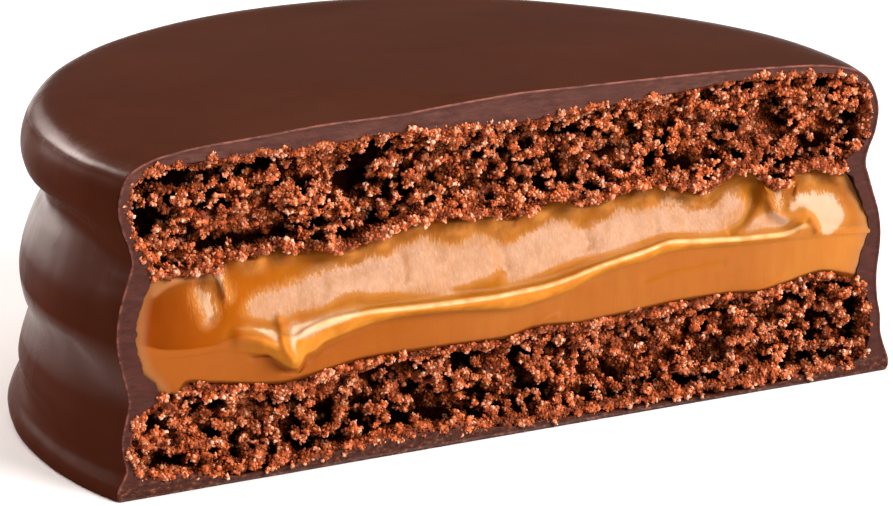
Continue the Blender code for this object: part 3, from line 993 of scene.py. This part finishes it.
# (distance from the middle, how far the band above the lip has sunk back at the top)
SLOPE_SUNK = [
    (-30, 0.25), (-25.5, 0.35), (-24.5, 0.8), (-23, 0.8), (-21.5, 1), (-19, 1.2), (17, 1.25), (18.8, 1.1),
    (20.5, 0.7), (22, 0.9), (23.5, 1.2), (26, 1.1), (27.5, 0.8), (30, 0.5),
]
# Strands, folds and wrinkles: points along each, its width, and how far it stands out.
FOLDS = [
    ([(-18.8, 11.6), (-18.4, 10.5), (-18.2, 9.4), (-17.8, 8.5), (-17.3, 7.7)], 0.34, 0.3),
    ([(-22.5, 10.5), (-20.6, 10), (-19.2, 9.3), (-18.2, 8.6), (-17.2, 7.8)], 0.45, 0.35),
    ([(-20.9, 10.8), (-19.8, 10.4), (-18.9, 9.8)], 0.25, -0.08),
    ([(20.1, 16.4), (20.3, 15), (20.6, 14), (21.5, 13.1), (22.7, 12.5), (23.6, 12.1)], 0.55, 0.75),
    ([(18.9, 15.8), (18.9, 14.2), (18.1, 13), (16.8, 12.5)], 0.5, -0.45),
    ([(22, 13.9), (22.6, 13.1), (23.6, 12.9), (24.3, 12.1), (24.8, 11.2)], 0.35, 0.35),
    ([(-23.1, 15.5), (-22.8, 14.3), (-22.4, 13)], 0.3, 0.45),
    ([(-24.9, 14.2), (-24.2, 12.9), (-23.7, 11.6)], 0.4, -0.25),
    ([(-9.7, 14.9), (-9.2, 13.6), (-8.9, 12.3)], 0.5, -0.09),
    ([(-7.2, 15.2), (-6.4, 14), (-6.2, 13)], 0.4, -0.08),
    ([(-2.3, 14.8), (-1.6, 13.6), (-1.2, 11.8)], 0.5, -0.16),
    ([(4.6, 14.8), (5.2, 13.7), (5.6, 12.6)], 0.5, -0.09),
    ([(-15.6, 13.9), (-15.2, 12.8), (-15.4, 11.8)], 0.45, -0.08),
    ([(10.4, 14.9), (10.9, 13.9), (10.9, 13.2)], 0.4, -0.07),
    ([(0.9, 7.5), (2, 7.95), (3.2, 8.3)], 0.22, 0.12),
    ([(18.3, 7.4), (20, 7.9), (21.9, 8.4)], 0.22, 0.12),
    ([(9.5, 9.8), (12, 10.15), (15, 10.3), (17, 10)], 0.35, -0.08),
    ([(-21, 8.6), (-20, 8.68), (-19.2, 8.6)], 0.12, -0.14),
]
# Blobs that hang from the crumb along the upper seam: (distance from the middle, height), width.
SCALLOPS = [
    ((-20.5, 15), 1), ((-18.3, 15.1), 0.8), ((-13, 14.7), 0.9), ((-10.8, 15.2), 1), ((-8.6, 15.7), 0.8),
    ((-5, 15.6), 1.4), ((-1.2, 15.4), 1.5), ((1.5, 15.5), 0.8), ((4.6, 15.6), 1), ((7, 15.5), 1),
    ((9.7, 15.6), 1.1), ((12.3, 15.7), 0.7), ((14.5, 15.1), 1.2), ((24, 15.2), 1), ((26.5, 14.9), 0.9),
]
print("folds:", len(FOLDS), "and hanging blobs:", len(SCALLOPS))

# %% [markdown]
# The pale places are painted highlights: where the wet band and its ridges shine, a paler colour with a
# duller finish is painted over the clear amber next to it. They are outlines on the same drawing. The lip
# is thin enough for light to come through it, which makes its lower edge golden.

# %% Painted highlights and golden places
PAINTED_HIGHLIGHTS = {
    "band": [
        (-19, 11), (-18.6, 11.3), (-17.9, 11), (-17.4, 11.3), (-16.5, 11.35), (-15.4, 11.4), (-14.4, 11.8),
        (-13.5, 12.15), (-12.5, 12.1), (-11.8, 11.85), (-10, 11.7), (-8.5, 11.4), (-7, 11.15),
        (-5.2, 10.95), (-5.3, 11.35), (-4.2, 11.45), (-3.4, 11.7), (-2.4, 11.8), (-1.9, 12.1), (-1.15, 12),
        (-1.1, 11.15), (0, 11.1), (1, 11.3), (2, 11.55), (3.5, 11.9), (5, 12.2), (7, 12.2), (8.5, 12.35),
        (10, 12.7), (11.5, 13), (12.5, 12.95), (14, 12.7), (16, 12.45), (17.4, 12.8), (18.3, 13.4),
        (18.6, 14), (18.4, 14.5), (17.6, 15), (16.8, 15.3), (16.3, 14.8), (15.8, 14.4), (15, 14.3),
        (14, 14.4), (12.6, 14.8), (11, 15.1), (9, 15.05), (8, 15.4), (7.3, 14.9), (6.2, 14.4), (5, 14.2),
        (4.3, 14.7), (3.2, 15.1), (2.4, 15.2), (1.6, 14.8), (0.4, 14.4), (-0.8, 14), (-1.6, 14.1),
        (-2.3, 14.6), (-3, 14.95), (-4, 14.95), (-4.8, 14.5), (-5.8, 14.6), (-6.8, 15), (-7.4, 15.35),
        (-8.5, 15.1), (-9.6, 14.9), (-10.2, 14.4), (-11, 14.3), (-11.8, 14.7), (-12.6, 14), (-14, 14.1),
        (-15.5, 13.9), (-17, 13.5), (-18.6, 13.2), (-20, 13), (-20.9, 12.5), (-21, 11.8), (-20.2, 11.3),
    ],
    "left of the strand": [
        (-20.9, 10.8), (-20, 10.65), (-18.7, 10.1), (-18.6, 9.2), (-19.1, 9.7), (-20.2, 10.4),
    ],
    "right of the strand": [
        (-18, 10.3), (-17.6, 10.8), (-16.8, 10.6), (-15.5, 10.8), (-14, 10.9), (-12.5, 10.9), (-12.5, 10.4),
        (-14, 10.1), (-15.2, 9.8), (-16.3, 9.35), (-17.2, 9.35), (-17.3, 8.6), (-17, 7.8), (-17.35, 8.3),
        (-17.7, 9),
    ],
    "left streak": [
        (-24.9, 14), (-24.2, 14), (-23.8, 13.4), (-23.3, 12.1), (-23.9, 11.5), (-24.2, 11.7), (-24.4, 12.5),
        (-24.7, 13.2),
    ],
    "left fold": [(-23.2, 15.4), (-22.9, 15.2), (-22.7, 14.2), (-22.3, 13.1), (-22.7, 13.7), (-23.3, 14.4)],
    "foot of the strand": [
        (19.2, 13.1), (20.2, 13.4), (21.2, 13.3), (22.2, 12.5), (21.6, 12.15), (20, 12.2), (18.4, 12.3),
    ],
    "strand": [(20.9, 14.9), (21.5, 14.9), (21.6, 14.2), (21.4, 13.4), (21.1, 13.5), (20.9, 14.2)],
    "comma": [
        (22.1, 13.5), (22.6, 14.1), (23.1, 14.4), (24, 14.4), (25, 14.3), (25.8, 14), (26.5, 13.3),
        (26.95, 12.6), (26.9, 12), (26.4, 11.4), (25.6, 11), (25, 11.2), (24.8, 11.9), (24.4, 12.6),
        (23.8, 13.1), (23.1, 13.4), (22.7, 13.2), (22.3, 13.2),
    ],
    "glint": [(11.5, 15.2), (11.9, 15.7), (12.5, 15.4), (13.1, 14.9), (12.3, 14.95)],
}
# Painted highlights, brighter still, where the sheen of the wet ridges is brightest.
GLARE = [
    [
        (-17.6, 10.4), (-16.8, 10.5), (-15, 10.6), (-13.2, 10.6), (-13.2, 10.2), (-15, 9.9), (-16.4, 9.6),
        (-17, 9.2), (-17.1, 8.2), (-17.5, 8.8), (-17.7, 9.7),
    ],
    [(-20.6, 10.7), (-19.4, 10.6), (-18.7, 10.2), (-18.7, 9.6), (-19.3, 9.9), (-20.2, 10.4)],
    [(-24.3, 13.9), (-23.8, 13.6), (-23.3, 12.8), (-23.4, 12), (-23.8, 11.9), (-24.1, 12.6)],
    [(-23.2, 15.3), (-22.9, 15.1), (-22.6, 14.2), (-22.9, 13.9), (-23.3, 14.6)],
]
# The milky corner under the crumb at the left end.
MILKY_CORNER = [
    (-27.9, 15.3), (-25, 15.3), (-23.6, 15.4), (-23.3, 14.6), (-24.3, 14.4), (-25.4, 14.6), (-26.6, 14.4),
    (-27.9, 13.8),
]
# Amber smears on the wall below the lip.
SMEARS = [
    [
        (9.3, 9.5), (10.5, 9.95), (12.5, 10.25), (14.5, 10.4), (16.5, 10.35), (17.4, 10.05), (16, 10),
        (14, 10), (12, 9.8), (10.5, 9.5),
    ],
    [(1, 7.6), (2, 8), (3.3, 8.4), (2.6, 7.95), (1.6, 7.6)],
    [(18, 7.7), (20, 8.1), (21.9, 8.6), (20.8, 8.1), (19.2, 7.7)],
    [(-21.2, 8.5), (-20.2, 8.72), (-19.2, 8.65), (-20.2, 8.52)],
]
print("pale places:", ", ".join(PAINTED_HIGHLIGHTS))


# %% Depths and heights on the drawing
def depth_in(x, z, outline):
    """How deep each (x, z) lies inside a smooth closed outline: negative outside."""
    closed = [*outline, outline[0]]
    gap, _ = near_line(x, z, closed, 3)
    line = curve_through(closed, 3)
    inside = np.zeros(x.shape, bool)
    for (x0, z0), (x1, z1) in zip(line, line[1:]):
        rise = z1 - z0 if z1 != z0 else 1
        inside ^= ((z0 > z) != (z1 > z)) & (x < x0 + (z - z0) * (x1 - x0) / rise)
    return np.where(inside, gap, -gap)


def deepest(x, z, outlines):
    return np.max([depth_in(x, z, outline) for outline in outlines], axis=0)


def fold_height(x, z):
    """How far the folds and the hanging blobs push the surface out at each point."""
    total = np.zeros_like(x)
    for points, width, height in FOLDS:
        gap, along = near_line(x, z, points)
        total += height * np.exp(-((gap / width) ** 2)) * eased(along / 0.15) * eased((1 - along) / 0.1 + 0.3)
    for (x0, z0), width in SCALLOPS:
        across, up = (x - x0) / (1.05 * width), (z - z0 - 0.2) / (0.65 * width)
        total += 0.42 * width * np.exp(-(across**2 + up**2))
    return total


def caramel_profile(x):
    """(height, distance in front of the cut) from the lower seam to the upper one."""
    low, high = level(LOWER_SEAM, x), level(UPPER_SEAM, x)
    crest, under = level(LIP_CREST, x), level(LIP_UNDER, x)
    proud, sunk = level(LIP_PROUD, x), level(SLOPE_SUNK, x)
    flat = np.zeros_like(x)
    hang = np.minimum(proud / 0.6, 1)
    band = high - crest
    wall = [
        (low - 0.5, flat - 2.2),
        (low - 0.1, flat - 0.8),
        (low + 0.08, flat - 0.1),
        (low + 0.45, 0.14 * hang),
        ((low + under) / 2, 0.16 * hang),
    ]
    lip = [
        (under - 0.25, flat),
        (under, 0.1 * proud),
        (under + 0.2, 0.75 * proud),
        ((under + crest) / 2, 1.05 * proud + 0.05),
        (crest, 0.9 * proud + 0.05),
        (crest + 0.3, 0.35 * proud),
        (crest + 0.65, 0.12 * proud),
    ]
    slope = [
        (crest + 0.2 * band, flat),
        (crest + 0.45 * band, -0.35 * sunk),
        (crest + 0.7 * band, -0.75 * sunk),
        (high - 0.6, -sunk),
        (high - 0.1, -1.05 * sunk),
        (high + 0.5, -1.3 * sunk - 0.5),
    ]
    return wall + lip + slope


# %% [markdown]
# The caramel's finish is built in layers, from the milky wall and the amber slope up to the bright crest
# of the lip. Some layers are painted light: the wall is paler than the amber by a painted reflection of
# the pale floor, the pale places and the crest carry painted highlights, a band under the upper seam
# carries painted shade, and a thin line along the lower seam is a painted shadow. Attributes on the
# mesh say where each layer shows. A little light goes into the caramel and comes out again nearby, which
# is subsurface scattering, and the pale places have less of it.


# %% The caramel's finish
def caramel_finish():
    caramel = Finish("caramel")
    maths, span, over, mark = caramel.maths, caramel.span, caramel.over, caramel.attribute
    flow = caramel.noise(1.8, detail=3, stretch=(1, 1, 2.2))
    hair = caramel.noise(0.17, detail=4, roughness=0.7, stretch=(1, 1, 6), distortion=0.5)
    patch = caramel.noise(4, detail=2)
    cloud = caramel.noise(1.1, detail=3)
    right = mark("right")
    jag = maths("MULTIPLY", maths("SUBTRACT", hair, 0.5), mark("hair"))
    # Painted highlight: the pale places, with ragged hair-like edges.
    ragged_highlight = maths("ADD", mark("painted_highlight"), jag)
    painted_highlight = span(ragged_highlight, -0.06, 0.16)
    crest = maths("MULTIPLY", mark("crest"), span(cloud, 0.3, 0.55, 0.45, 1.0))
    # The wall's milky colour is paler than the amber by a painted reflection of the pale floor.
    milky = over(
        (0.298, 0.081, 0.0095),
        (span(right, 0.33, 0.48), (0.335, 0.105, 0.017)),
        (span(right, 0.84, 0.96), (0.42, 0.150, 0.024)),
        (span(patch, 0.4, 0.7, 0, 0.3), (0.30, 0.070, 0.008)),
    )
    amber = over(
        (0.175, 0.029, 0.0001),
        (span(right, 0.01, 0.12), (0.32, 0.080, 0.003)),
        (span(right, 0.12, 0.22), (0.32, 0.102, 0.007)),
        (span(right, 0.90, 0.97), (0.36, 0.125, 0.020)),
        (span(patch, 0.4, 0.7, 0, 0.35), (0.30, 0.055, 0.0005)),
        # painted highlight: a lighter amber round the pale places
        (span(ragged_highlight, -0.7, -0.05, 0.0, 0.65), (0.44, 0.175, 0.038)),
        # painted shade: darker just under the crumb of the upper seam
        (maths("MULTIPLY", mark("upper"), 0.55), (0.20, 0.055, 0.005)),
    )
    clouded = span(cloud, 0.35, 0.65)
    olive = caramel.mix(clouded, (0.24, 0.072, 0.010), (0.42, 0.160, 0.030))
    golden = caramel.mix(clouded, (0.43, 0.146, 0.014), (0.52, 0.195, 0.022))
    # The painted highlight's colour: peach, and whiter at the right end.
    peach = over(
        caramel.ramp(cloud, (0.3, (0.350, 0.148, 0.060)), (0.7, (0.420, 0.200, 0.092))),
        (span(hair, 0.45, 0.7, 0, 0.7), (0.48, 0.252, 0.130)),
        # painted glare: the brightest painted highlights
        (span(mark("glare"), -0.1, 0.15), (0.62, 0.38, 0.22)),
        (span(right, 0.86, 0.9), (0.52, 0.30, 0.18)),
    )
    colour = over(
        milky,
        (span(maths("ADD", mark("slope"), maths("MULTIPLY", jag, 0.8)), 0.25, 0.75), amber),
        (mark("hang"), olive),
        (mark("gold"), golden),
        (painted_highlight, peach),
        # painted highlight along the crest of the lip
        (crest, (0.62, 0.36, 0.15)),
        (mark("rim"), (0.34, 0.135, 0.045)),
        # painted shadow: a thin dark line along the lower seam
        (mark("seam"), (0.11, 0.022, 0.0015)),
    )
    caramel.set(Base_Color=colour, Subsurface_Weight=span(painted_highlight, 0, 1, 0.8, 0.25))
    caramel.set(Subsurface_Radius=(1.0, 0.38, 0.10), Subsurface_Scale=0.7 * MM, IOR=1.45)
    shine = maths("ADD", span(painted_highlight, 0, 1, 0.035, 0.15), maths("MULTIPLY", crest, 0.15))
    caramel.set(Roughness=span(painted_highlight, 0, 1, 0.2, 0.34), Specular_IOR_Level=shine)
    caramel.bumps((flow, 0.06), (hair, 0.02))
    return caramel.material


def caramel_marks(x, z, from_coat):
    """The attributes of the caramel's finish at each place."""
    crest, under = level(LIP_CREST, x), level(LIP_UNDER, x)
    # The crest line, where a highlight is painted along the lip.
    line = eased((0.26 - np.abs(z - crest + 0.05)) / 0.2) * eased((x + 16.6) / 1.2) * eased((24.2 - x) / 1.2)
    on_lip = eased((z - under + 0.05) / 0.25) * eased((crest + 0.25 - z) / 0.3)
    smear = 0.75 * eased(deepest(x, z, SMEARS) / 0.15 + 0.2)
    milky = 0.85 * eased(depth_in(x, z, MILKY_CORNER) / 0.35 + 0.4)
    hang = np.zeros_like(x)
    for (x0, z0), width in SCALLOPS:
        away = np.hypot((x - x0) / (1.1 * width), (z - z0 - 0.2) / (0.75 * width))
        hang = np.maximum(hang, eased(1.45 - away))
    return {
        # How deep each place lies inside the outlines of the painted highlights.
        "painted_highlight": deepest(x, z, PAINTED_HIGHLIGHTS.values()),
        "glare": deepest(x, z, GLARE),
        # upper: painted shade below the upper seam
        "upper": eased((z - level(UPPER_SEAM, x) + 1.9) / 1.7),
        "hair": 0.35 + 1.6 * eased((z - crest - 1.2) / 1.2),
        "slope": np.maximum(eased((z - crest + 0.15) / 0.35), smear),
        "gold": on_lip * eased((x + 22) / 3) * eased((23 - x) / 6),
        "crest": line,
        "hang": hang,
        "right": np.clip((x + 28) / 56, 0, 1),
        "rim": np.maximum(0.8 * eased((1.35 - from_coat) / 0.9), milky),
        # seam: a painted shadow along the lower seam
        "seam": eased((level(LOWER_SEAM, x) + 0.34 - z) / 0.2),
    }


# %% [markdown]
# The loft runs from end to end of the cut. Near its ends it is fitted to the coat's inner wall, and lies
# a little back from the cut there. Behind it, plain walls carry the layer through to the back of the
# cookie.

# %% Building the caramel
CARAMEL_COLUMNS = 520
PROFILE_STEPS = 7
CARAMEL_END = 29.7       # half the loft's length before it is fitted
FITTED_FROM = 24         # distance from the middle where the fitting starts
FITTED = 5.7             # length of the fitted stretch
INTO_WALL = 0.25         # how far the ends reach into the coat
RECESS = (0.17, 0.35)    # how far the right and the left end lie back from the cut
ROUND_BACK = 29.0        # radius of the layer's hidden back
BACK_HEIGHTS = (7.2, 15.9)


def caramel():
    xs = np.linspace(-CARAMEL_END, CARAMEL_END, CARAMEL_COLUMNS)
    profile = np.stack([np.stack([z, out]) for z, out in caramel_profile(xs)])
    columns = np.stack([curve_through(profile[:, :, i], PROFILE_STEPS) for i in range(len(xs))], axis=1)
    z, out = columns[..., 0], columns[..., 1]
    x = np.broadcast_to(xs, z.shape).copy()

    # The ends follow the coat's inner wall, and reach a little way into it.
    walls = []
    for outline in (INNER_RIGHT, INNER_LEFT):
        line = curve_through(outline, COAT_STEPS)[::-1]
        walls.append(np.interp(z, line[:, 1], line[:, 0]) + INTO_WALL)
    limit = np.where(x > 0, *walls)
    beyond = np.abs(x) - FITTED_FROM
    squeeze = eased(beyond / FITTED)
    fitted = FITTED_FROM + beyond * (limit - FITTED_FROM) / FITTED
    x = np.sign(x) * (np.abs(x) * (1 - squeeze) + squeeze * fitted)
    from_coat = limit - np.abs(x)
    marks = caramel_marks(x, z, from_coat)

    share = np.linspace(0, 1, len(z))[:, None]
    open_face = eased(share / 0.12) * eased((1 - share) / 0.08)
    flat = np.stack([x.ravel(), np.zeros(x.size), z.ravel()], axis=1)
    swell = 0.14 * rough(flat * (0.7, 1, 1), 2.6, 11) + 0.04 * rough(flat * (1, 1, 0.4), 0.8, 12)
    recess = np.where(x > 0, *RECESS) * np.exp(-from_coat / 0.5)
    out = out + open_face * (fold_height(x, z) + swell.reshape(x.shape) - recess)
    inner = eased(from_coat / 2.5)
    slid = x - SLIDE_ALONG * out * inner * open_face
    front = np.stack([slid, CUT - out, z + SLIDE_DOWN * out * open_face], axis=2)

    nearest = np.minimum(np.abs(x[0]), ROUND_BACK - 0.5)
    back = np.sqrt(np.maximum(ROUND_BACK**2 - nearest**2, 4))
    floor_row, roof_row = (
        np.stack([row, back, np.full_like(back, height)], axis=1)[None]
        for row, height in zip((x[0], x[-1]), BACK_HEIGHTS)
    )
    grid = np.concatenate([floor_row, front, roof_row])
    rows, count = grid.shape[:2]
    faces = grid_faces(rows, count)
    last = (rows - 1) * count
    faces += [(c, c + 1, last + c + 1, last + c) for c in range(count - 1)]
    faces += [tuple(r * count + end for r in range(rows)) for end in (0, count - 1)]
    made = piece("caramel", grid.reshape(-1, 3), faces, [caramel_finish()], merge=0)
    for name, values in marks.items():
        values = np.concatenate([values[:1], values, values[-1:]]).ravel()
        made.data.attributes.new(name, "FLOAT", "POINT").data.foreach_set("value", values)
    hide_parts("caramel_filling")
    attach(made, "root")


caramel()

# %% [markdown]
# ## The stage
#
# A plain pale floor, a big soft light above and in front, and a camera with a long lens, which shows the
# cookie in its true proportions.

# %% Floor
FLOOR_HALF = 1500


def floor():
    paper = Finish("paper floor")
    shade = paper.ramp(paper.noise(40, detail=2), (0.3, (0.90, 0.89, 0.88)), (0.7, (0.92, 0.91, 0.90)))
    paper.set(Base_Color=shade, Roughness=0.9)
    corners = [(x * FLOOR_HALF, y * FLOOR_HALF, 0) for x, y in ((-1, -1), (1, -1), (1, 1), (-1, 1))]
    made = piece("floor", corners, [(0, 1, 2, 3)], [paper.material])


floor()

# %% [markdown]
# Soft rectangles of light stand in a ring round the cookie. Those behind it on the left are low and warm:
# they lie along the bulges of the coat as long streaks.

# %% Lights
WARM = (1, 0.84, 0.78)
SKY = (0.92, 0.96, 1, 1)
SKY_STRENGTH = 0.09
LIGHTS_AIM = 12          # height of the place that every light faces


def facing_back(made, aim, out, distance):
    """Puts a light or a camera at a distance from a height above the middle, looking back at it."""
    made.location = Vector((0, 0, aim * MM)) + out * distance * MM
    made.rotation_euler = (-out).to_track_quat("-Z", "Y").to_euler()


def softbox(name, direction, distance, size, power, roll=0, colour=(1, 1, 1)):
    """A rectangular light. Its size and distance are in millimetres."""
    data = bpy.data.lights.new(name, "AREA")
    data.shape = "RECTANGLE"
    data.size, data.size_y = size[0] * MM, size[1] * MM
    data.energy = power
    data.color = colour
    made = placed(name, data)
    facing_back(made, LIGHTS_AIM, Vector(direction).normalized(), distance)
    made.rotation_euler.rotate_axis("Z", math.radians(roll))


softbox("key, front right", (0.46, -0.75, 0.54), 500, (300, 200), 4.6)
softbox("overhead", (0.05, 0.12, 1), 800, (900, 900), 4.8, colour=(1, 0.985, 0.975))
softbox("behind left, high", (-0.33, 0.82, 0.48), 500, (150, 110), 1.2, roll=40, colour=WARM)
softbox("behind left", (-0.2, 0.9, 0.36), 500, (130, 100), 0.35, roll=40, colour=WARM)
softbox("behind left, low", (-0.58, 0.79, 0.18), 500, (400, 70), 1.9, roll=20, colour=WARM)
softbox("behind", (-0.04, 0.98, 0.17), 500, (90, 60), 0.04, colour=WARM)

world = bpy.data.worlds.new("studio")
world.use_nodes = True
background = world.node_tree.nodes["Background"].inputs
background["Color"].default_value = SKY
background["Strength"].default_value = SKY_STRENGTH
bpy.context.scene.world = world
bpy.context.scene.view_settings.view_transform = "Standard"
print("lights:", len(bpy.data.lights))

# %% Camera
TURN = math.radians(-28.57)
RISE = math.radians(15.66)
DISTANCE = 286.0
LENS = 162.2
SHIFT = (-0.0176, -0.0192)


def camera():
    data = bpy.data.cameras.new("camera")
    data.sensor_width = 36
    data.lens = LENS
    data.shift_x, data.shift_y = SHIFT
    data.clip_start, data.clip_end = 0.01, 10
    made = placed("camera", data)
    out = Vector((math.sin(TURN) * math.cos(RISE), -math.cos(TURN) * math.cos(RISE), math.sin(RISE)))
    facing_back(made, TOP / 2, out, DISTANCE)
    bpy.context.scene.camera = made


camera()
print(f"camera: {DISTANCE:.0f} mm away, with a {LENS:.0f} mm lens")
